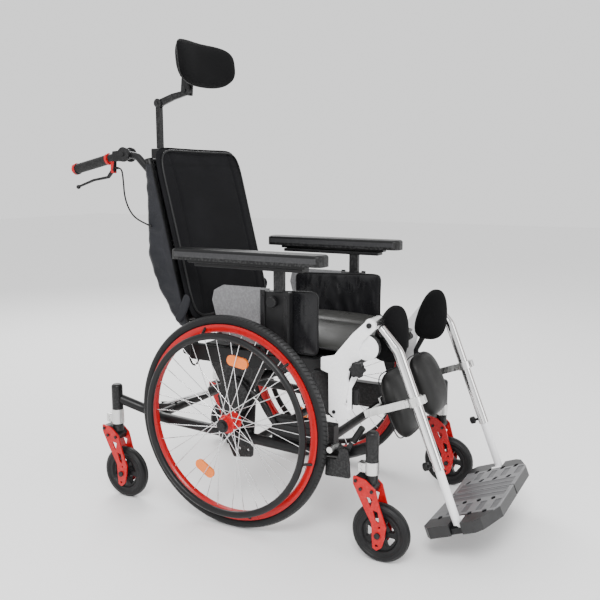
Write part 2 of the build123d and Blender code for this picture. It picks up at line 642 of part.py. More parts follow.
def leg_tube():
    """Outer leg tube from the knee, with the clamp knob for the lower tube."""
    ky, kz = KNEE
    bend = leg_point(452)
    start = (-LEG_X, ky - 12, kz - 14)
    tube_outer = tube([start, (-LEG_X, *bend), (-LEG_X, *leg_point(LEG_SPLIT))], LEG_R, 0, 55)
    knuckle = cross_rod(-253, -201, ky, kz, 17)
    bore = rod((-LEG_X, *leg_point(LEG_SPLIT - 5)), (-LEG_X, *leg_point(418)), 11 + FIT)
    body = (tube_outer + knuckle) - bore - cross_rod(-300, -190, ky, kz, 7 + FIT)
    out, knob_end = leg_point(LEG_SPLIT + 14, -13.5), leg_point(LEG_SPLIT + 14, -24)
    tip = leg_point(LEG_SPLIT + 14, -38)
    stalk = rod((-LEG_X, *out), (-LEG_X, *knob_end), 4)
    knob = rod((-LEG_X, *knob_end), (-LEG_X, *tip), 11)
    return [body, stalk - body, fillet(knob.edges(), 3)]


def foot_frame(shape):
    """Place a shape drawn about the ankle, with +Y running back along the footplate."""
    return Location((-LEG_X, ANKLE[0], ANKLE[1])) * Rot(-LEG_LEAN, 0, 0) * shape


def lower_tube():
    """Inner tube that slides in the leg tube, and the boss for the footplate's hinge."""
    slide = rod((0, 0, -14), (0, 0, 330), 11, 8.5)
    boss = block(-18, FOOT_HINGE_IN, -14.5, 14.5, -29, -14) + rod((0, 0, -20), (0, 0, -10), 12)
    knuckle = rod((FOOT_HINGE_IN, -14.5, FOOT_HINGE_UP), (FOOT_HINGE_IN, 14.5, FOOT_HINGE_UP), 8)
    web = block(8, FOOT_HINGE_IN, -14.5, 14.5, -29, FOOT_HINGE_UP)
    body = slide + boss + knuckle + web
    body -= rod((FOOT_HINGE_IN, -20, FOOT_HINGE_UP), (FOOT_HINGE_IN, 20, FOOT_HINGE_UP), 4 + FIT)
    return [foot_frame(body)]


def footplate():
    """Footplate that flips up beside the tube, with grip holes and a hinge pin."""
    outline = [(-24, -50), (-10, -68), (62, -100), (211, -100), (211, 82), (-4, 90), (-24, 74)]
    face = make_face(Polyline(*outline, close=True))
    plate_body = extrude(Plane.XY.offset(-SOLE_THICK) * face, amount=SOLE_THICK, dir=(0, 0, 1))
    plate_body -= block(-60, FOOT_HINGE_IN + 9, -15.5, 15.5, -60, 20)
    for y in (-64, -23, 18, 59):
        for x in (40, 130):
            hole = Pos(x, y, -6) * extrude(Rot(0, 0, 12) * SlotOverall(25, 12), amount=12)
            plate_body -= hole
    for y in (-84, -43.5, -2.5, 38.5):
        plate_body -= block(52, 116, y - 9, y + 9, -1.4, 5, 0.6)
    for x in (146, 178):
        plate_body -= block(x, x + 28, -90, 72, -1.2, 5, 0.5)
    pin_hole = rod((FOOT_HINGE_IN, -30, FOOT_HINGE_UP), (FOOT_HINGE_IN, 30, FOOT_HINGE_UP), 4)
    pin = rod((FOOT_HINGE_IN, -30, FOOT_HINGE_UP), (FOOT_HINGE_IN, 30, FOOT_HINGE_UP), 4)
    return [foot_frame(plate_body - pin_hole), foot_frame(pin)]


def calf_pad():
    """Calf pad, its flat bar and the clamp that turns on the leg tube."""
    cy, cz = leg_point(CALF_UP)
    low, high = leg_point(CALF_UP - 11), leg_point(CALF_UP + 11)
    ring = rod((-LEG_X, *low), (-LEG_X, *high), 20)
    place = Location((-LEG_X, cy, cz)) * Rot(-LEG_LEAN, 0, 0)
    bar = place * block(-3, 3, 15, 150, -10, 10)
    clamp_block = place * block(-9, 9, -28, 28, -10, 10, 2)
    bore = rod((-LEG_X, *leg_point(0)), (-LEG_X, *leg_point(430)), LEG_R + FIT)
    clamp = (ring + bar + clamp_block) - bore
    stud = place * block(3, 60, 118, 136, -8, 8)
    pad = place * block(24, 192, 48, 118, -102, 84)
    pad = fillet(pad.edges(), 26)
    mount = place * block(50, 110, 118, 124, -24, 24, 1)
    return [clamp, (stud - mount) - clamp, pad, mount]


# ----------------------------------------------------------------- gas springs

def gas_spring(x, front, rear, body_length, body_r, rod_r):
    """Cylinder with an eye on its front pin, and a rod with an eye at its rear end."""
    a, b = Vector(x, *front), Vector(x, *rear)
    run = (b - a).normalized()
    start, end = a + run * 10, a + run * body_length
    eye = cross_rod(x - 7, x + 7, *front, 11)
    barrel = rod(tuple(start), tuple(end), body_r)
    barrel = barrel - rod(tuple(a + run * 60), tuple(end), rod_r + FIT)
    cylinder = (eye + barrel) - cross_rod(x - 20, x + 20, *front, 4 + FIT)
    shaft = rod(tuple(end - run * 70), tuple(b - run * 8), rod_r)
    rod_end = shaft + cross_rod(x - 6, x + 6, *rear, 10)
    return cylinder, rod_end


def main():
    save_pair("tyre", drive_tyre())
    wheel_rim = rim()
    save_pair("rim", wheel_rim)
    hub_solids = hub()
    save_pair("hub", *hub_solids)
    save_pair("spokes", *[biggest(s - wheel_rim - hub_solids[0]) for s in spoke_set()])
    save_pair("handrim", handrim())

    for place, stem_y in (("front", FRONT_STEM_Y), ("rear", REAR_STEM_Y)):
        save_pair(f"{place}_fork", *fork(stem_y, 320))
        save_pair(f"{place}_caster_wheel", *caster_wheel(stem_y))

    save_pair("base_rail", *base_rail())
    save("base_cross_frame", *both(axle_plate() + rail_guides()), *base_cross_tubes())
    save_pair("parking_brake_lever", *parking_brake_lever())

    save("seat_frame", *seat_frame())
    save("seat_cushion", cushion())
    save("side_guards", *both(side_guard()))
    save("side_pads", *both([side_pad()]))

    save("back_frame", *back_frame())
    save("back_cushion", back_slab(0, BACK_LENGTH, 0, BACK_THICK, BACK_W / 2, 12))
    save("back_cover", back_cover())
    save("headrest_post", *headrest_post())
    save("headrest_link", *headrest_link())
    save("headrest_pad", *headrest_pad())
    save_pair("push_handle", *push_handle())
    save_pair("hand_grip", *hand_grip())
    save_pair("brake_lever", *brake_lever())
    save("brake_cables", *both([brake_cable()]))

    save_pair("armrest_post", *armrest_post())
    save_pair("armrest_pad", armrest_pad())

    save_pair("hanger", *hanger())
    save_pair("knee_pad", *knee_pad())
    save_pair("leg_tube", *leg_tube())
    save_pair("lower_tube", *lower_tube())
    save_pair("footplate", *footplate())
    save_pair("calf_pad", *calf_pad())

    tilt = gas_spring(-SPRING_X, TILT_SEAT_PIN, TILT_BASE_PIN, 290, 14, 5)
    save("tilt_spring_cylinder", tilt[0])
    save("tilt_spring_rod", tilt[1])
    recline = gas_spring(SPRING_X, RECLINE_SEAT_PIN, RECLINE_BACK_PIN, 215, 11, 4)
    save("recline_spring_cylinder", recline[0])
    save("recline_spring_rod", recline[1])


main()
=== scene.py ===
import json
import math

import bmesh
import bpy
from mathutils import Matrix, Vector, noise


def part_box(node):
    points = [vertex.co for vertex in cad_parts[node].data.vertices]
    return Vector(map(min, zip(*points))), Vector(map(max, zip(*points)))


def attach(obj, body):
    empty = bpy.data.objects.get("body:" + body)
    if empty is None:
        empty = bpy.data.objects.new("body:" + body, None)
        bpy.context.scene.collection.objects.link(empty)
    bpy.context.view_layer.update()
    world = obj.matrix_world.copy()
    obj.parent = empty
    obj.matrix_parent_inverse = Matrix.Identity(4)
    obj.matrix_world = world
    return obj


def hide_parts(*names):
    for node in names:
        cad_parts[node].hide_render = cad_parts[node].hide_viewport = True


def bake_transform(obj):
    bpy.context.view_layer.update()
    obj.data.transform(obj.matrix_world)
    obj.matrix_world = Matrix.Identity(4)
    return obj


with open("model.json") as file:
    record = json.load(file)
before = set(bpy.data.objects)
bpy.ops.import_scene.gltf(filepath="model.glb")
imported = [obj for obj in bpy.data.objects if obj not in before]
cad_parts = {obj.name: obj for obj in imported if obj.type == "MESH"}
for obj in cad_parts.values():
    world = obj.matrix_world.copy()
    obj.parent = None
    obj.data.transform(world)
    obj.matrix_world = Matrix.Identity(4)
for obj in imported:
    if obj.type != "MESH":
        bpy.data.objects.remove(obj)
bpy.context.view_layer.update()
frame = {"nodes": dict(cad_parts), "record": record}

JOINT = {j["name"]: j for j in frame["record"]["behaviour"]["joints"]}
AXLE_Y = JOINT["right_wheel_spin"]["pos_m"][1]
SIDES = (("right", -1), ("left", 1))
BACK_LEAN = math.radians(14.0)
LEG_LEAN = math.radians(21.5)
SEAM_PULL = 0.012
FLOOR_HALF = 14.0
LENS_MM = 45.1
CAMERA_PLACE = (-1.979, AXLE_Y - 1.141, 0.980)
CAMERA_AIM = (0, AXLE_Y - 0.060, 0.614)

# Sizes inside CAD nodes of several materials, in metres
REFLECTOR_MAX = 0.09
AXLE_BOLT_RADIUS = 0.0067
HUB_CAP_X = 0.3355
CASTER_RADIUS = 0.079
CASTER_TYRE_INNER = 0.0605
FORK_PLATE = (0.0213, 0.0262)
FORK_PLATE_TOP = 0.236
HANGER_PLATE = (0.2538, 0.2622)
GUARD_PANEL = (0.2254, 0.2296)
SHOE_TOP = 0.112
HOUSING_X = 0.2635
HOUSING_SPAN = (-0.022, 0.04)
HOUSINGS = ((-0.425, 0.2652), (0.427, 0.2772))
BRAKE_PEG_X = 0.2737
BRAKE_GRIP_Z = 0.305
COLLAR_SHIFT = 0.03
COLLAR_SPAN = (0.512, 0.533)
COLLAR_TOP = 1.03
GRIP_RUBBER = (0.508, 0.636)
LEG_KNOB_HEIGHT = 0.03
HEAD_BRACKET_WIDTH = 0.12
CALF_CLAMP_HEIGHT = 0.09
KNEE_BRACKET_HEIGHT = 0.05
ANKLE = Vector((0, AXLE_Y - 0.629, 0.122))


def node(name):
    return frame["nodes"][name]


# ------------------------------------------------------------------- materials

class Shader:
    """A Principled material that is built up one layer at a time."""

    def __init__(self, name, color, roughness, metallic=0.0, coat=0.0, specular=0.5):
        self.material = bpy.data.materials.new(name)
        self.material.use_nodes = True
        self.tree = self.material.node_tree
        self.bsdf = self.tree.nodes["Principled BSDF"]
        self.color = (*color, 1.0)
        self.bsdf.inputs["Base Color"].default_value = self.color
        self.bsdf.inputs["Roughness"].default_value = roughness
        self.bsdf.inputs["Metallic"].default_value = metallic
        self.bsdf.inputs["Coat Weight"].default_value = coat
        self.bsdf.inputs["Coat Roughness"].default_value = 0.12
        self.bsdf.inputs["Specular IOR Level"].default_value = specular
        self.place = self.add("ShaderNodeTexCoord").outputs["Object"]
        self.normal = None

    def add(self, kind, **inputs):
        made = self.tree.nodes.new(kind)
        for key, value in inputs.items():
            self.link(value, made.inputs[key.replace("_", " ")])
        return made

    def link(self, value, socket):
        if isinstance(value, bpy.types.NodeSocket):
            self.tree.links.new(value, socket)
        else:
            socket.default_value = value

    def math(self, operation, a, b=0.0, clamp=False):
        made = self.tree.nodes.new("ShaderNodeMath")
        made.operation = operation
        made.use_clamp = clamp
        self.link(a, made.inputs[0])
        self.link(b, made.inputs[1])
        return made.outputs[0]

    def ramp(self, value, low, high, out_low=0.0, out_high=1.0):
        made = self.add("ShaderNodeMapRange", Value=value)
        made.inputs["From Min"].default_value = low
        made.inputs["From Max"].default_value = high
        made.inputs["To Min"].default_value = out_low
        made.inputs["To Max"].default_value = out_high
        return made.outputs["Result"]

    def stretched(self, scale):
        made = self.add("ShaderNodeMapping", Vector=self.place)
        made.inputs["Scale"].default_value = scale
        return made.outputs["Vector"]

    def noise(self, scale, detail=3.0, vector=None):
        made = self.add("ShaderNodeTexNoise", Scale=scale, Detail=detail)
        self.link(self.place if vector is None else vector, made.inputs["Vector"])
        return made.outputs["Fac"]

    def cells(self, scale):
        made = self.add("ShaderNodeTexVoronoi", Scale=scale, Vector=self.place)
        made.feature = "DISTANCE_TO_EDGE"
        return made.outputs["Distance"]

    def axes(self):
        return self.add("ShaderNodeSeparateXYZ", Vector=self.place).outputs

    def facing(self):
        """The surface's own direction, in the object's axes."""
        direction = self.add("ShaderNodeTexCoord").outputs["Normal"]
        return self.add("ShaderNodeSeparateXYZ", Vector=direction).outputs

    def tint(self, mask, color):
        """Mix the colour so far with COLOR where MASK is 1."""
        mix = self.tree.nodes.new("ShaderNodeMix")
        mix.data_type = "RGBA"
        socket = self.bsdf.inputs["Base Color"]
        before = socket.links[0].from_socket if socket.links else self.color
        self.link(mask, mix.inputs["Factor"])
        self.link(before, mix.inputs[6])
        mix.inputs[7].default_value = (*color, 1.0)
        self.link(mix.outputs[2], socket)
        return self

    def gloss(self, value, low, high):
        """Roughness that runs from LOW to HIGH with a mask."""
        self.link(self.ramp(value, 0.3, 0.7, low, high), self.bsdf.inputs["Roughness"])
        return self

    def bump(self, height, distance, strength=1.0):
        made = self.add("ShaderNodeBump", Height=height, Distance=distance, Strength=strength)
        if self.normal is not None:
            self.link(self.normal, made.inputs["Normal"])
        self.normal = made.outputs["Normal"]
        self.link(self.normal, self.bsdf.inputs["Normal"])
        return self

    def edge_wear(self, color, amount):
        """Lighter worn patches along the sharp edges."""
        sharp = self.add("ShaderNodeNewGeometry").outputs["Pointiness"]
        patches = self.ramp(self.noise(160), 0.45, 0.6)
        broken = self.math("MULTIPLY", self.ramp(sharp, 0.53, 0.60), patches)
        return self.tint(self.math("MULTIPLY", broken, amount, True), color)


def powder_coat(name, color, roughness=0.36):
    s = Shader(name, color, roughness, specular=0.28)
    s.tint(s.ramp(s.noise(12), 0.45, 0.8, 0.0, 0.3), tuple(c * 1.5 + 0.003 for c in color))
    s.gloss(s.noise(40), roughness - 0.05, roughness + 0.07)
    s.bump(s.noise(1400, 2), 0.0002, 0.3)
    s.edge_wear((0.07, 0.07, 0.07), 0.25)
    return s.material


def gloss_paint(name, color, dark):
    s = Shader(name, color, 0.36, coat=0.1, specular=0.3)
    s.tint(s.ramp(s.noise(9), 0.45, 0.8, 0.0, 0.3), dark)
    s.gloss(s.noise(60), 0.26, 0.38)
    s.bump(s.noise(900, 2), 0.0001, 0.25)
    s.edge_wear(tuple(min(1.0, c * 1.3 + 0.03) for c in color), 0.3)
    return s.material


def bright_metal(name, color, roughness, stretch=(260, 260, 6)):
    s = Shader(name, color, roughness, metallic=1.0)
    streaks = s.noise(1.0, 4, s.stretched(stretch))
    s.gloss(streaks, roughness * 0.7, roughness * 1.5)
    s.tint(s.ramp(s.noise(22), 0.4, 0.75, 0.0, 0.4), tuple(c * 0.7 for c in color))
    s.bump(streaks, 0.0001, 0.3)
    return s.material


def tube_metal(name):
    """Bright drawn tube with darker and warmer lengthwise bands painted by which way the surface faces, as
    painted reflections of a polished round bar.
    """
    s = Shader(name, (0.80, 0.80, 0.80), 0.16, metallic=1.0)
    # Painted reflection: warm and dark bands along the tube, coloured by the surface's facing rather than
    # by the metal itself.
    across, _, _ = s.facing()
    painted_warm_reflection, dark = (0.20, 0.12, 0.09), (0.10, 0.10, 0.10)
    for centre, width, color, amount in ((-0.25, 0.16, painted_warm_reflection, 0.8), (0.25, 0.16, painted_warm_reflection, 0.8),
                                         (0.72, 0.12, dark, 0.75), (-0.72, 0.12, dark, 0.75)):
        away = s.math("ABSOLUTE", s.math("SUBTRACT", across, centre))
        s.tint(s.ramp(away, width, width * 0.3, 0.0, amount), color)
    streaks = s.noise(1.0, 4, s.stretched((300, 300, 5)))
    s.gloss(streaks, 0.12, 0.24)
    s.bump(streaks, 0.0001, 0.25)
    return s.material


def moulded_plastic(name, color, roughness, grain=900):
    s = Shader(name, color, roughness, specular=0.25)
    s.tint(s.ramp(s.noise(30), 0.4, 0.8, 0.0, 0.35), tuple(c * 1.5 + 0.003 for c in color))
    s.gloss(s.noise(90), roughness - 0.06, roughness + 0.09)
    s.bump(s.cells(grain), 0.00015, 0.35)
    s.edge_wear(tuple(c * 1.8 + 0.02 for c in color), 0.3)
    return s.material


def vinyl(name, color, roughness=0.36, grain=420, crease=0.0008):
    s = Shader(name, color, roughness, specular=0.3)
    s.tint(s.ramp(s.noise(7, 4), 0.4, 0.75, 0.0, 0.5), tuple(c * 1.4 + 0.003 for c in color))
    s.gloss(s.noise(18, 4), roughness - 0.08, roughness + 0.1)
    s.bump(s.noise(26, 4), crease, 0.4)
    s.bump(s.math("MINIMUM", s.cells(grain), 0.25), 0.0004, 0.4)
    s.bump(s.noise(1500, 2), 0.0001, 0.25)
    return s.material


def mesh_fabric(name, color, hole_scale=300):
    """Knitted spacer mesh whose small holes lie in rows up the cloth and columns across it."""
    s = Shader(name, color, 0.8, specular=0.1)
    x, _, z = s.axes()
    row_pitch, column_pitch = 1.6, 1.9
    row = s.math("MULTIPLY", z, hole_scale)
    column = s.math("MULTIPLY", x, hole_scale)
    rows = s.math("SINE", s.math("MULTIPLY", row, 2 * math.pi / row_pitch))
    columns = s.math("SINE", s.math("MULTIPLY", column, 2 * math.pi / column_pitch))
    depth = s.math("MULTIPLY", rows, columns)
    # Painted shade: the knit's holes darkened, as shade inside them.
    s.tint(s.ramp(depth, 0.1, 0.7, 0.0, 0.8), tuple(c * 0.25 for c in color))
    s.tint(s.ramp(s.noise(8, 4), 0.45, 0.8, 0.0, 0.4), tuple(c * 1.5 + 0.003 for c in color))
    s.bump(s.math("MULTIPLY", depth, -1.0), 0.0006, 0.6)
    s.bump(s.noise(35, 4), 0.0012, 0.35)
    return s.material


def woven_nylon(name, color):
    s = Shader(name, color, 0.46, specular=0.25)
    x, y, z = s.axes()
    warp = s.math("SINE", s.math("MULTIPLY", x, 7000.0))
    weft = s.math("SINE", s.math("MULTIPLY", s.math("ADD", z, y), 6400.0))
    s.bump(s.math("MULTIPLY", warp, weft), 0.0002, 0.5)
    s.bump(s.noise(60, 5), 0.0016, 0.5)
    s.gloss(s.noise(24, 4), 0.38, 0.58)
    s.tint(s.ramp(s.noise(11, 4), 0.35, 0.75, 0.0, 0.7), tuple(c * 1.9 + 0.008 for c in color))
    return s.material


def tyre_rubber(name, centre, outer, blocks, tread=0.9):
    """Rubber with a tread cut by angle round the wheel, and faint rings on its side walls."""
    s = Shader(name, (0.006, 0.006, 0.0065), 0.45, specular=0.25)
    x, y, z = s.axes()
    dy = s.math("SUBTRACT", y, centre[1])
    dz = s.math("SUBTRACT", z, centre[2])
    angle = s.math("ARCTAN2", dz, dy)
    radius = s.math("SQRT", s.math("ADD", s.math("MULTIPLY", dy, dy), s.math("MULTIPLY", dz, dz)))
    across = s.math("ABSOLUTE", s.math("SUBTRACT", x, centre[0]))
    slanted = s.math("ADD", s.math("MULTIPLY", angle, float(blocks)), s.math("MULTIPLY", across, 260.0))
    groove = s.ramp(s.math("SINE", slanted), 0.55, 0.8)
    crown = s.ramp(radius, outer - 0.008 * tread, outer - 0.004 * tread)
    s.bump(s.math("MULTIPLY", s.math("MULTIPLY", groove, crown), -1.0), 0.0016, 0.9)
    rings = s.math("SINE", s.math("MULTIPLY", radius, 1900.0))
    s.bump(s.math("MULTIPLY", rings, s.math("SUBTRACT", 1.0, crown)), 0.0003, 0.5)
    s.tint(s.ramp(s.noise(30, 4), 0.4, 0.75, 0.0, 0.5), (0.012, 0.012, 0.0125))
    # Painted sheen: a lighter grey band round the tread crown.
    s.tint(s.math("MULTIPLY", crown, 0.45), (0.035, 0.035, 0.036))
    # Painted shade: the tread grooves darkened as if shaded.
    s.tint(s.math("MULTIPLY", s.math("MULTIPLY", groove, crown), 0.9), (0.002, 0.002, 0.002))
    s.bump(s.noise(900, 2), 0.0002, 0.4)
    return s.material


def reflector_plastic(name):
    s = Shader(name, (0.9, 0.2, 0.004), 0.22, coat=0.3)
    s.tint(s.ramp(s.cells(330), 0.0, 0.2, 0.6, 0.0), (0.7, 0.12, 0.0))
    s.bump(s.cells(330), 0.0008, 0.8)
    # Painted glow: a faint emission lights the reflector on its own.
    s.bsdf.inputs["Emission Color"].default_value = (1.0, 0.22, 0.0, 1.0)
    s.bsdf.inputs["Emission Strength"].default_value = 0.06
    return s.material


def foot_tread(name, ankle):
    """Black footplate whose top has a satin grey insert between its rims."""
    s = Shader(name, (0.008, 0.008, 0.0085), 0.42)
    x, y, z = s.axes()
    lift = s.math("ADD", s.math("MULTIPLY", s.math("SUBTRACT", y, ankle.y), math.sin(LEG_LEAN)),
                  s.math("MULTIPLY", s.math("SUBTRACT", z, ankle.z), math.cos(LEG_LEAN)))
    top = s.ramp(lift, -0.0030, -0.0020)
    floor = s.ramp(lift, -0.0006, -0.0011, 0.0, 1.0)
    insert = s.math("MULTIPLY", top, s.ramp(s.math("ABSOLUTE", x), 0.178, 0.174))
    s.tint(insert, (0.17, 0.17, 0.175))
    s.tint(s.math("MULTIPLY", insert, floor), (0.085, 0.085, 0.09))
    s.tint(s.ramp(s.noise(40, 4), 0.45, 0.75, 0.0, 0.3), (0.03, 0.03, 0.031))
    s.bump(s.noise(700, 2), 0.0002, 0.4)
    s.bump(s.noise(1.0, 3, s.stretched((30, 400, 400))), 0.0003, 0.4)
    return s.material


def striped_pad(name, low, high):
    """Black polyurethane arm pad with a brushed grey stripe along both sides."""
    s = Shader(name, (0.005, 0.005, 0.0055), 0.4, specular=0.25)
    _, y, z = s.axes()
    facing, _, _ = s.facing()
    side = s.ramp(s.math("ABSOLUTE", facing), 0.85, 0.92)
    height = low[2] + 0.5 * (high[2] - low[2])
    band = s.ramp(s.math("ABSOLUTE", s.math("SUBTRACT", z, height)), 0.0075, 0.0065)
    half_way = 0.5 * (low[1] + high[1])
    ends = s.ramp(s.math("ABSOLUTE", s.math("SUBTRACT", y, half_way)), 0.226, 0.224)
    mask = s.math("MULTIPLY", s.math("MULTIPLY", side, band), ends)
    s.tint(s.ramp(s.noise(25, 4), 0.4, 0.75, 0.0, 0.4), (0.009, 0.009, 0.0095))
    s.tint(mask, (0.032, 0.032, 0.034))
    s.bump(mask, 0.0008, 0.6)
    s.bump(s.cells(700), 0.0003, 0.45)
    s.edge_wear((0.08, 0.08, 0.08), 0.4)
    return s.material


BLACK = powder_coat("black_powder_coat", (0.006, 0.006, 0.0065))
RED = gloss_paint("red_enamel", (0.43, 0.0008, 0.0035), (0.33, 0.0006, 0.0025))
WHITE = gloss_paint("white_enamel", (0.86, 0.86, 0.87), (0.72, 0.72, 0.74))
SILVER = bright_metal("satin_aluminium", (0.72, 0.72, 0.71), 0.3)
POLISHED = tube_metal("polished_tube")
CHROME = bright_metal("chromed_steel", (0.82, 0.82, 0.83), 0.1, (40, 40, 40))
BLACK_PLASTIC = moulded_plastic("black_plastic", (0.007, 0.007, 0.0075), 0.42)
GREY_PLASTIC = moulded_plastic("grey_plastic", (0.15, 0.15, 0.155), 0.34)
RUBBER = moulded_plastic("black_rubber", (0.008, 0.008, 0.008), 0.55, 1200)
BLACK_VINYL = vinyl("black_vinyl", (0.005, 0.005, 0.0055), 0.4)
GREY_VINYL = vinyl("grey_vinyl", (0.021, 0.021, 0.0195), 0.33)
SIDE_VINYL = vinyl("side_vinyl", (0.008, 0.008, 0.009), 0.27, crease=0.002)
MESH = mesh_fabric("spacer_mesh", (0.006, 0.006, 0.007))
SOFT_BLACK = mesh_fabric("soft_knit", (0.004, 0.004, 0.0045), 700)
NYLON = woven_nylon("cover_nylon", (0.0055, 0.006, 0.0085))
PAD_CLOTH = vinyl("pad_cloth", (0.0035, 0.0034, 0.0033), 0.5, 600)
ORANGE = reflector_plastic("orange_reflector")


# --------------------------------------------------------------- node painting

def coat_node(name, material):
    """Give a whole CAD node one material."""
    mesh = node(name).data
    mesh.materials.clear()
    mesh.materials.append(material)
    for face in mesh.polygons:
        face.material_index = 0


def islands(mesh):
    """Lists of face numbers, one for each solid of a CAD node, joined where points coincide."""
    first = {}
    spot = [first.setdefault(tuple(round(c, 6) for c in v.co), v.index) for v in mesh.vertices]
    parent = list(range(len(mesh.vertices)))

    def root(i):
        while parent[i] != i:
            parent[i] = parent[parent[i]]
            i = parent[i]
        return i

    for face in mesh.polygons:
        a = root(spot[face.vertices[0]])
        for v in face.vertices[1:]:
            b = root(spot[v])
            if a != b:
                parent[b] = a
    groups = {}
    for face in mesh.polygons:
        groups.setdefault(root(spot[face.vertices[0]]), []).append(face.index)
    return list(groups.values())


def reach(mesh, faces):
    """Lowest and highest corner of some faces."""
    points = [mesh.vertices[v].co for f in faces for v in mesh.polygons[f].vertices]
    low = Vector([min(p[i] for p in points) for i in range(3)])
    high = Vector([max(p[i] for p in points) for i in range(3)])
    return low, high


def hard_parts(name, body, material, rule):
    """Copy the solids of a replaced node whose (low, high) box passes RULE, as its brackets."""
    source = node(name).data
    keep = [f for faces in islands(source) if rule(*reach(source, faces)) for f in faces]
    order = {}
    faces = [[order.setdefault(v, len(order)) for v in source.polygons[f].vertices] for f in keep]
    verts = [source.vertices[v].co.copy() for v in order]
    made = make_object(f"{name}_brackets", verts, faces, material)
    for face, f in zip(made.data.polygons, keep):
        face.use_smooth = source.polygons[f].use_smooth
    made.data.normals_split_custom_set_from_vertices([source.vertices[v].normal for v in order])
    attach(made, body)


def paint(name, material, rule):
    """Give MATERIAL to each solid of a node whose (low, high) box passes RULE, in metres."""
    mesh = node(name).data
    mesh.materials.append(material)
    index = len(mesh.materials) - 1
    for faces in islands(mesh):
        if rule(*reach(mesh, faces)):
            for f in faces:
                mesh.polygons[f].material_index = index


def paint_faces(name, material, rule):
    """Give MATERIAL to each face of a node whose centre and normal pass RULE."""
    mesh = node(name).data
    mesh.materials.append(material)
    index = len(mesh.materials) - 1
    for face in mesh.polygons:
        if rule(face.center, face.normal):
            face.material_index = index


# ----------------------------------------------------------------- mesh pieces

def make_object(name, verts, faces, material):
    mesh = bpy.data.meshes.new(name)
    mesh.from_pydata([tuple(v) for v in verts], [], faces)
    mesh.update()
    mesh.materials.append(material)
    mesh.shade_smooth()
    made = bpy.data.objects.new(name, mesh)
    bpy.context.scene.collection.objects.link(made)
    return made


def close_mesh(made):
    """Merge the points that lie within a hundredth of a millimetre and turn all the faces outwards."""
    work = bmesh.new()
    work.from_mesh(made.data)
    bmesh.ops.remove_doubles(work, verts=work.verts, dist=1e-5)
    bmesh.ops.recalc_face_normals(work, faces=work.faces)
    work.to_mesh(made.data)
    work.free()
    made.data.shade_smooth()


def wire(name, points, radius, material, body, cyclic=False):
    """Smooth round cord, pipe or welt through given control points."""
    data = bpy.data.curves.new(name, "CURVE")
    data.dimensions = "3D"
    data.bevel_depth = radius
    data.bevel_resolution = 5
    data.resolution_u = 10
    data.use_fill_caps = True
    spline = data.splines.new("NURBS")
    spline.points.add(len(points) - 1)
    for target, point in zip(spline.points, points):
        target.co = (*point, 1.0)
    spline.order_u = 3
    spline.use_cyclic_u = cyclic
    spline.use_endpoint_u = not cyclic
    data.materials.append(material)
    made = bpy.data.objects.new(name, data)
    bpy.context.scene.collection.objects.link(made)
    if body:
        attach(made, body)
    return made


def as_mesh(curve):
    """The same pipe as a mesh object, which a bending piece has to be."""
    bpy.context.view_layer.update()
    evaluated = curve.evaluated_get(bpy.context.evaluated_depsgraph_get())
    mesh = bpy.data.meshes.new_from_object(evaluated)
    mesh.shade_smooth()
    name = curve.name
    bpy.data.objects.remove(curve)
    made = bpy.data.objects.new(name, mesh)
    bpy.context.scene.collection.objects.link(made)
    return made


def squircle(a, b, power):
    """Map a point of the unit square into a rounded square, with its radius from 0 to 1."""
    radius = max(abs(a), abs(b))
    if radius == 0:
        return 0.0, 0.0, 0.0
    total = (abs(a) ** power + abs(b) ** power) ** (1 / power)
    return a * radius / total, b * radius / total, radius


def bowed(x, y, half_u, half_v):
    """A point of a pad's outline in metres, with its sides pulled in at their ends."""
    return x * half_u * (1 - SEAM_PULL * (1 - y * y)), y * half_v * (1 - SEAM_PULL * (1 - x * x))


def stuffed(name, place, half_u, half_v, front, back, material, power, shape, steps=72, crown=0.25):
    """Crowned closed pad about PLACE, with U and V along its face and W out of its front.

    FRONT and BACK are its thickness each way from the seam, and SHAPE moves a point
    (u, v, w) given the rounded-square coordinates, for bends, channels and wrinkles.
    """
    verts, faces = [], []
    for depth in (front, -back):
        base = len(verts)
        for i in range(steps + 1):
            for j in range(steps + 1):
                a = math.sin(math.pi / 2 * (2 * i / steps - 1))
                b = math.sin(math.pi / 2 * (2 * j / steps - 1))
                x, y, r = squircle(a, b, power)
                side = (1 - r ** 5) ** 0.5
                swell = (1 - crown) * side + crown * side * (1 - 0.5 * (x * x + y * y))
                point = Vector((*bowed(x, y, half_u, half_v), depth * swell))
                verts.append(place @ shape(point, x, y, r, depth > 0))
        for i in range(steps):
            for j in range(steps):
                k = base + i * (steps + 1) + j
                faces.append((k, k + steps + 1, k + steps + 2, k + 1))
    made = make_object(name, verts, faces, material)
    close_mesh(made)
    return made


def welt(name, place, half_u, half_v, radius, material, body, power, shape=None):
    """Piping that runs round the seam of a stuffed pad."""
    count = 72
    points = []
    for i in range(count):
        t = 2 * math.pi * i / count
        c, s = math.cos(t), math.sin(t)
        scale = 1 / (abs(c) ** power + abs(s) ** power) ** (1 / power)
        x, y = c * scale, s * scale
        point = Vector((*bowed(x, y, half_u, half_v), 0.0))
        if shape:
            point = shape(point, x, y, 1.0, True)
        points.append(place @ point)
    return wire(name, points, radius, material, body, cyclic=True)


def groove(distance, width, depth):
    """Height of a rounded channel at a distance from its middle line."""
    return -depth * math.exp(-(distance / width) ** 2)


def frame_at(centre, u, v):
    """Placement with its U and V axes along two directions and W out of them."""
    u, v = Vector(u).normalized(), Vector(v).normalized()
    w = u.cross(v)
    return Matrix.Translation(centre) @ Matrix((u, v, w)).transposed().to_4x4()


def middle(name):
    low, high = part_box(name)
    return (Vector(low) + Vector(high)) / 2


# ------------------------------------------------------------------- the wheels

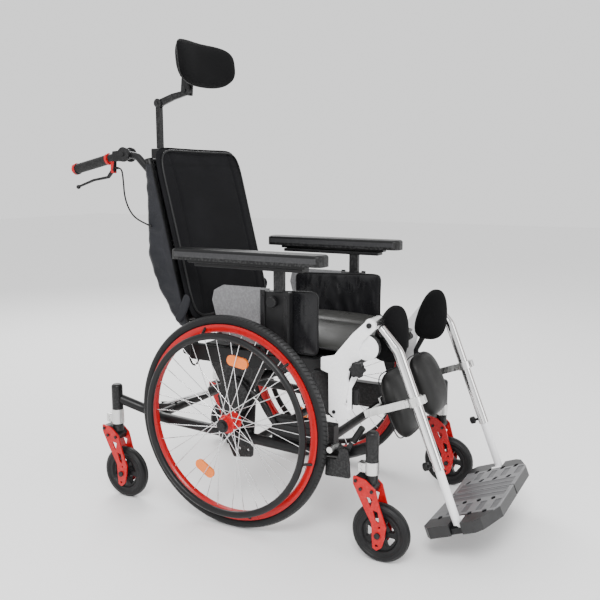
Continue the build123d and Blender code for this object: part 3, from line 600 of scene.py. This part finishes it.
def dress_wheels():
    """Materials of the drive wheels, casters and forks."""
    for side, _ in SIDES:
        axle = JOINT[f"{side}_wheel_spin"]["pos_m"]
        tyre_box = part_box(f"{side}_tyre")
        outer = (tyre_box[1][2] - tyre_box[0][2]) / 2
        coat_node(f"{side}_tyre", tyre_rubber(f"{side}_tyre_rubber", axle, outer, 150))
        coat_node(f"{side}_rim", RED)
        coat_node(f"{side}_handrim", BLACK)
        coat_node(f"{side}_spokes", CHROME)
        paint(f"{side}_spokes", ORANGE, lambda lo, hi: (hi - lo).length < REFLECTOR_MAX)
        coat_node(f"{side}_hub", RED)
        paint_faces(f"{side}_hub", CHROME, lambda c, n: (c.yz - Vector(axle).yz).length < AXLE_BOLT_RADIUS)
        paint_faces(f"{side}_hub", BLACK_PLASTIC, lambda c, n: abs(c.x) > HUB_CAP_X)
        for place in ("front", "rear"):
            wheel = f"{side}_{place}_caster_wheel"
            hub = JOINT[f"{side}_{place}_roll"]["pos_m"]
            coat_node(wheel, BLACK_PLASTIC)
            rubber = tyre_rubber(f"{side}_{place}_caster_rubber", hub, CASTER_RADIUS, 0, 0.2)
            paint_faces(wheel, rubber, lambda c, n: (c.yz - Vector(hub).yz).length > CASTER_TYRE_INNER)
            fork = f"{side}_{place}_fork"
            coat_node(fork, BLACK)
            paint_faces(fork, RED, lambda c, n: c.z < FORK_PLATE_TOP
                        and FORK_PLATE[0] < abs(abs(c.x) - abs(hub[0])) < FORK_PLATE[1])


def dress_frames():
    """Materials of the hard CAD nodes apart from the wheels."""
    for side, _ in SIDES:
        rail = f"{side}_base_rail"
        coat_node(rail, BLACK)
        for stem, top in HOUSINGS:
            paint_faces(rail, SILVER, lambda c, n: abs(c.x) > HOUSING_X and c.z < top
                        and HOUSING_SPAN[0] < c.y - AXLE_Y - stem < HOUSING_SPAN[1])
        brake = f"{side}_parking_brake_lever"
        coat_node(brake, BLACK)
        paint_faces(brake, SILVER, lambda c, n: abs(c.x) > BRAKE_PEG_X)
        paint_faces(brake, RUBBER, lambda c, n: c.z > BRAKE_GRIP_Z)
        coat_node(f"{side}_armrest_post", BLACK)
        coat_node(f"{side}_armrest_pad", striped_pad(f"{side}_arm_pad", *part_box(f"{side}_armrest_pad")))
        hanger = f"{side}_hanger"
        coat_node(hanger, WHITE)
        paint_faces(hanger, BLACK_PLASTIC, lambda c, n: not HANGER_PLATE[0] < abs(c.x) < HANGER_PLATE[1])
        leg = f"{side}_leg_tube"
        coat_node(leg, POLISHED)
        paint(leg, BLACK_PLASTIC, lambda lo, hi: (hi - lo).z < LEG_KNOB_HEIGHT)
        coat_node(f"{side}_lower_tube", WHITE)
        paint_faces(f"{side}_lower_tube", BLACK_PLASTIC, lambda c, n: c.z < SHOE_TOP)
        coat_node(f"{side}_footplate", foot_tread(f"{side}_foot_tread", ANKLE))
        coat_node(f"{side}_push_handle", BLACK_PLASTIC)
        paint_faces(f"{side}_push_handle", RED, lambda c, n: c.z < COLLAR_TOP
                    and COLLAR_SPAN[0] < c.y - AXLE_Y + COLLAR_SHIFT < COLLAR_SPAN[1])
        coat_node(f"{side}_hand_grip", RUBBER)
        paint_faces(f"{side}_hand_grip", RED,
                    lambda c, n: not GRIP_RUBBER[0] < c.y - AXLE_Y < GRIP_RUBBER[1])
        coat_node(f"{side}_brake_lever", BLACK_PLASTIC)
    for name in ("base_cross_frame", "seat_frame", "back_frame", "headrest_post", "headrest_link"):
        coat_node(name, BLACK)
    coat_node("side_guards", GREY_PLASTIC)
    paint_faces("side_guards", BLACK_PLASTIC, lambda c, n: not GUARD_PANEL[0] < abs(c.x) < GUARD_PANEL[1])
    for spring in ("tilt_spring", "recline_spring"):
        coat_node(f"{spring}_cylinder", BLACK)
        coat_node(f"{spring}_rod", CHROME)


# --------------------------------------------------------------------- the seat

def seat_cushion():
    """Crowned vinyl cushion with a shallow channel down its middle."""
    low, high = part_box("seat_cushion")
    centre = middle("seat_cushion")
    half_u = (high[0] - low[0]) / 2
    half_v = (high[1] - low[1]) / 2
    place = frame_at((centre.x, centre.y, low[2] + 0.022), (1, 0, 0), (0, 1, 0))

    def shape(p, x, y, r, front):
        if front:
            p.z += 0.010 * math.exp(-((abs(x) - 0.5) / 0.3) ** 2) * (1 - y * y)
            p.z += groove(x, 0.05, 0.005) * (1 - y ** 4)
            p.z -= 0.022 * max(0.0, -y - 0.55) ** 2 / 0.2
            p.z += 0.0025 * noise.noise(Vector((p.x * 22, p.y * 9, 3.1))) * (1 - r ** 6)
            pull = max(0.0, abs(y) - 0.8) / 0.2
            p.z += 0.0018 * pull * math.sin(p.x * 190 + 4 * noise.noise(Vector((p.x * 12, 0, 1.0))))
        return p

    cushion = stuffed("seat_cushion_cover", place, half_u - 0.004, half_v - 0.003, 0.044, 0.020,
                      GREY_VINYL, 9.0, shape, 84, 0.5)
    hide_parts("seat_cushion")
    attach(cushion, "seat")
    welt("seat_cushion_piping", place, half_u - 0.003, half_v - 0.002, 0.0032,
         BLACK_VINYL, "seat", 9.0, shape)


def side_pads():
    """Wrinkled vinyl side pads between the cushion and the guards."""
    low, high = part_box("side_pads")
    foremost = low[1] + 0.064
    half_u = (high[1] - foremost) / 2
    half_v = (high[2] - low[2]) / 2
    for side, sign in SIDES:
        x = sign * 0.2155
        centre = (x, (foremost + high[1]) / 2, (low[2] + high[2]) / 2)
        place = frame_at(centre, (0, -sign, 0), (0, 0, 1))

        def shape(p, a, b, r, front):
            tall = noise.noise(Vector((p.x * 34 + p.y * 12 + sign, p.y * 5, 0.4)))
            fine = noise.noise(Vector((p.x * 80, p.y * 22, 2.0)))
            p.z += (0.0050 * tall + 0.0016 * fine) * (1 - r ** 6)
            p.y += 0.006 * a * sign * b
            return p

        pad = stuffed(f"{side}_side_pad_cover", place, half_u - 0.003, half_v - 0.004, 0.0075, 0.006,
                      SIDE_VINYL, 16.0, shape, 96)
        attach(pad, "seat")
        if side == "right":
            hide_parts("side_pads")
        welt(f"{side}_side_pad_piping", place, half_u - 0.002, half_v - 0.003, 0.0024,
             BLACK_VINYL, "seat", 16.0, shape)


# --------------------------------------------------------------------- the back

def back_place():
    """Frame on the back cushion's seam: U across, V up the lean and W towards the occupant."""
    centre = middle("back_cushion")
    up = (0, math.sin(BACK_LEAN), math.cos(BACK_LEAN))
    return frame_at(centre, (1, 0, 0), up)


def back_cushion():
    """Mesh-covered back cushion with a seam near each side and one near the top."""
    place = back_place()
    half_u, half_v = 0.218, 0.266
    side_seam, top_seam = 0.155, 0.205

    def shape(p, x, y, r, front):
        if front:
            p.z -= 0.012 * (1 - x * x)
            for seam in (-side_seam, side_seam):
                p.z += groove(p.x - seam, 0.005, 0.0045) * (1 - abs(y) ** 8)
            p.z += groove(p.y - top_seam, 0.004, 0.003) * (1 - abs(x) ** 10)
            p.z += 0.0022 * noise.noise(Vector((p.x * 9, p.y * 14, 5.0))) * (1 - r ** 6)
        return p

    cushion = stuffed("back_cushion_cover", place, half_u, half_v, 0.026, 0.023, MESH, 10.0, shape, 96)
    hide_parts("back_cushion")
    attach(cushion, "back")
    front_edge = place @ Matrix.Translation((0, 0, 0.0105))
    welt("back_cushion_piping", front_edge, 0.2085, 0.2545, 0.0028, BLACK_VINYL, "back", 10.0)


def back_cover():
    """Loose nylon cover that wraps from the cushion's sides round the back tubes."""
    low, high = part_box("back_cover")
    rows, columns = 90, 150
    top, bottom = high[2] + 0.045, low[2]
    half = 0.2165
    verts, faces = [], []
    for i in range(rows + 1):
        t = i / rows
        z = bottom + (top - bottom) * t
        front_y = AXLE_Y + 0.160 + (z - 0.560) * math.tan(BACK_LEAN) + 0.048
        belly = min(1.0, max(0.0, (z - bottom) / 0.25))
        fullness = (high[1] - low[1] - 0.014) * math.sin(belly * math.pi / 2)
        rear_y = max(front_y + 0.028, low[1] + 0.012 + fullness)
        if z > 0.93:
            rear_y += (z - 0.93) * 0.02
        depth = rear_y - front_y
        corner = min(0.022, depth * 0.6)
        for j in range(columns + 1):
            s = j / columns
            total = 2 * depth + 2 * half
            d = s * total
            if d < depth:
                x, y, n = -half, front_y + d, Vector((-1, 0, 0))
            elif d < depth + 2 * half:
                x, y, n = -half + (d - depth), rear_y, Vector((0, 1, 0))
            else:
                x, y, n = half, rear_y - (d - depth - 2 * half), Vector((1, 0, 0))
            edge = max(0.0, 1 - max(0.0, rear_y - y) / corner)
            edge *= max(0.0, 1 - (half - abs(x)) / corner)
            x -= math.copysign(corner * 0.42 * edge, x)
            y -= corner * 0.42 * edge
            fold = noise.noise(Vector((x * 7, z * 20 + y * 14, 7.7)))
            fold += 0.5 * noise.noise(Vector((x * 22, z * 46, y * 30)))
            amount = 0.0065 * min(1.0, d / 0.03, (total - d) / 0.03)
            point = Vector((x, y, z)) + n * amount * (fold - 0.45)
            verts.append(point)
    for i in range(rows):
        for j in range(columns):
            k = i * (columns + 1) + j
            faces.append((k, k + 1, k + columns + 2, k + columns + 1))
    cover = make_object("back_cover_nylon", verts, faces, NYLON)
    thick = cover.modifiers.new("cloth", "SOLIDIFY")
    thick.thickness = 0.0016
    thick.offset = -1.0
    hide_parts("back_cover")
    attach(cover, "back")


# ----------------------------------------------------------------- the headrest

def headrest():
    """Pad that curves forwards at both ends, and its bracket."""
    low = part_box("headrest_pad")[0]
    centre = Vector((0, low[1] + 0.048, 1.326))
    place = frame_at(centre, (1, 0, 0), (0, 0.1, 1))

    def shape(p, x, y, r, front):
        p.z += 0.030 * x * x
        p.y += 0.006 * x * x
        if front:
            p.z -= 0.006 * (1 - y * y) * (1 - x * x)
        return p

    pad = stuffed("headrest_pad_cover", place, 0.147, 0.066, 0.032, 0.036, SOFT_BLACK, 3.2, shape, 72, 0.55)
    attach(pad, "head_pad")
    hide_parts("headrest_pad")
    welt("headrest_seam", place @ Matrix.Translation((0, 0, -0.004)), 0.1475, 0.0665, 0.0018,
         BLACK_VINYL, "head_pad", 3.2, shape)
    hard_parts("headrest_pad", "head_pad", BLACK, lambda lo, hi: (hi - lo).x < HEAD_BRACKET_WIDTH)


# ---------------------------------------------------------------- the leg pads

def leg_pads():
    """Calf pads on the leg tubes and egg-shaped knee pads on the hangers."""
    up = Vector((0, math.sin(LEG_LEAN), math.cos(LEG_LEAN)))
    for side, sign in SIDES:
        joint = Vector(JOINT[f"{side}_calf_swing"]["pos_m"])
        out = Vector((0, math.cos(LEG_LEAN), -math.sin(LEG_LEAN)))
        centre = joint + out * 0.083 + up * -0.009 + Vector((-sign * 0.108, 0, 0))
        place = frame_at(centre, (1, 0, 0), up)

        def shape(p, x, y, r, front):
            if front:
                p.z -= 0.006 * (1 - x * x)
            p.z += 0.0014 * noise.noise(Vector((p.x * 20, p.y * 16, sign * 4.0)))
            return p

        pad = stuffed(f"{side}_calf_pad_cover", place, 0.083, 0.093, 0.036, 0.034, PAD_CLOTH, 3.6, shape,
                      72, 0.45)
        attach(pad, f"{side}_calf")
        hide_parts(f"{side}_calf_pad")
        hard_parts(f"{side}_calf_pad", f"{side}_calf", SILVER,
                   lambda lo, hi: (hi - lo).z < CALF_CLAMP_HEIGHT)
        welt(f"{side}_calf_pad_seam", place @ Matrix.Translation((0, 0, -0.016)), 0.0815, 0.0915, 0.0016,
             BLACK_PLASTIC, f"{side}_calf", 3.6, shape)

        low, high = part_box(f"{side}_knee_pad")
        inner = min(abs(low[0]), abs(high[0]))
        centre = Vector((sign * (inner + 0.030), AXLE_Y - 0.424, (low[2] + high[2]) / 2))
        place = frame_at(centre, (0, -sign, 0), (0, -0.16, 1))

        def egg(p, x, y, r, front):
            p.x *= 1.0 - 0.26 * y
            p.z *= 1.0 - 0.10 * y
            return p

        knee = stuffed(f"{side}_knee_pad_cover", place, 0.046, 0.079, 0.028, 0.026,
                       SOFT_BLACK, 2.5, egg, 60, 0.5)
        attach(knee, f"{side}_legrest")
        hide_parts(f"{side}_knee_pad")
        hard_parts(f"{side}_knee_pad", f"{side}_legrest", BLACK,
                   lambda lo, hi: (hi - lo).z < KNEE_BRACKET_HEIGHT)


# ------------------------------------------------------------------ the straps

def ribbon(name, line, width, across):
    """Strip of webbing along a line, as wide as WIDTH in the direction ACROSS."""
    verts = [Vector(p) + Vector(across) * (end * width / 2) for p in line for end in (-1, 1)]
    faces = [(2 * i, 2 * i + 1, 2 * i + 3, 2 * i + 2) for i in range(len(line) - 1)]
    strap = make_object(name, verts, faces, NYLON)
    strap.modifiers.new("round", "SUBSURF").levels = 2
    body = strap.modifiers.new("webbing", "SOLIDIFY")
    body.thickness = 0.0016
    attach(strap, "back")


def back_straps():
    """Webbing tail and loop buckle that hang at the foot of the back."""
    for side, sign in SIDES:
        x = sign * 0.2195
        tail = [(0.196, 0.640), (0.206, 0.612), (0.222, 0.583), (0.240, 0.556)]
        tail = [(x, AXLE_Y + y, z) for y, z in tail]
        ribbon(f"{side}_back_strap", tail, 0.030, (0, 0.78, 0.62))
        loop = [(-0.016, 0.0), (-0.008, -0.052), (0.016, -0.060), (0.030, -0.012), (0.020, 0.006)]
        inner = sign * 0.200
        points = [(inner, AXLE_Y + 0.186 + y, 0.482 + z) for y, z in loop]
        wire(f"{side}_strap_loop", points, 0.0028, BLACK_PLASTIC, "back", cyclic=True)
        hanging = [(inner, AXLE_Y + y, z) for y, z in ((0.196, 0.560), (0.192, 0.520), (0.186, 0.486))]
        ribbon(f"{side}_loop_strap", hanging, 0.024, (0, 1, 0))


# ------------------------------------------------------------------ the cables

def cables():
    """Brake cables that bend from the back tubes to the push handles."""
    for side, sign in SIDES:
        x = sign * 0.195
        y0 = AXLE_Y
        points = [(x, y0 + 0.468, 1.010), (x, y0 + 0.454, 1.010), (x + sign * 0.006, y0 + 0.444, 0.975),
                  (x + sign * 0.014, y0 + 0.434, 0.918), (x + sign * 0.020, y0 + 0.405, 0.872),
                  (x + sign * 0.024, y0 + 0.365, 0.850), (x + sign * 0.024, y0 + 0.325, 0.838)]
        cable = as_mesh(wire(f"{side}_brake_cable", points, 0.0025, RUBBER, None))
        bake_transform(cable)
        if side == "right":
            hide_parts("brake_cables")


# --------------------------------------------------------------- camera, light

def studio():
    """Camera, pale floor, even sky and three soft lamps."""
    camera_data = bpy.data.cameras.new("camera")
    camera_data.lens = LENS_MM
    camera_data.sensor_width = 36.0
    camera = bpy.data.objects.new("camera", camera_data)
    camera.location = CAMERA_PLACE
    aim = Vector(CAMERA_AIM) - camera.location
    camera.rotation_euler = aim.to_track_quat("-Z", "Y").to_euler()
    bpy.context.scene.collection.objects.link(camera)
    bpy.context.scene.camera = camera

    floor_shader = Shader("studio_floor", (0.93, 0.93, 0.93), 0.7)
    corners = [(x * FLOOR_HALF, y * FLOOR_HALF, 0) for x, y in ((-1, -1), (1, -1), (1, 1), (-1, 1))]
    floor = make_object("studio_floor", corners, [(0, 1, 2, 3)], floor_shader.material)

    world = bpy.data.worlds.new("studio")
    world.use_nodes = True
    world.node_tree.nodes["Background"].inputs["Color"].default_value = (1.0, 1.0, 1.0, 1.0)
    world.node_tree.nodes["Background"].inputs["Strength"].default_value = 1.25
    bpy.context.scene.world = world
    lights = [("key", (-2.6, -1.2, 2.9), 1.4, 120.0), ("fill", (-0.3, -3.6, 1.5), 2.0, 45.0),
              ("rim", (1.8, 2.4, 2.8), 2.0, 90.0)]
    for name, spot, size, power in lights:
        data = bpy.data.lights.new(name, "AREA")
        data.size = size
        data.energy = power
        lamp = bpy.data.objects.new(name, data)
        lamp.location = spot
        lamp.rotation_euler = (Vector((0, 0, 0.6)) - lamp.location).to_track_quat("-Z", "Y").to_euler()
        bpy.context.scene.collection.objects.link(lamp)


studio()
dress_wheels()
dress_frames()
seat_cushion()
side_pads()
back_cushion()
back_cover()
back_straps()
headrest()
leg_pads()
cables()
